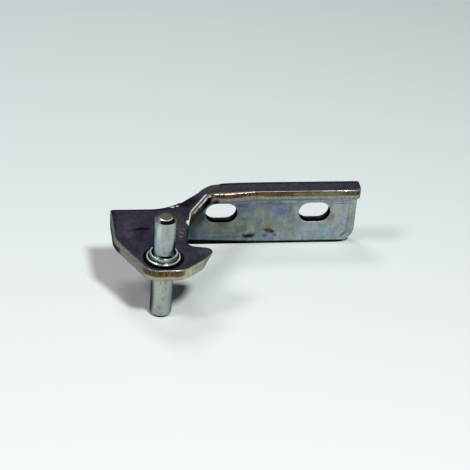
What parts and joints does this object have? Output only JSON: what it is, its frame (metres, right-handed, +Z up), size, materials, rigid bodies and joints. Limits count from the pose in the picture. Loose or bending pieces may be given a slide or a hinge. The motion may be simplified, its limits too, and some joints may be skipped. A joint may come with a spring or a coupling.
{
  "type": "refrigerator middle hinge",
  "caption": "Bent sheet-metal refrigerator middle hinge: flat leaf with a stepped-collar pin standing up and down through its front, a slanting neck and a slotted mounting flange at the back.",
  "frame": {"origin": "pin axis at the underside of the leaf", "axes": "+Z up along the upper stub of the pin, +Y square to the mounting flange towards the cabinet, +X along the flange away from the pin"},
  "size_m": [0.0802, 0.0511, 0.0362],
  "materials": {
    "plated_sheet": "zinc plated, passivated, stained",
    "plated_pin": "turned, zinc plated, bright"
  },
  "bodies": {
    "root": {"bracket": "plated_sheet", "hinge_pin": "plated_pin"}
  },
  "joints": []
}
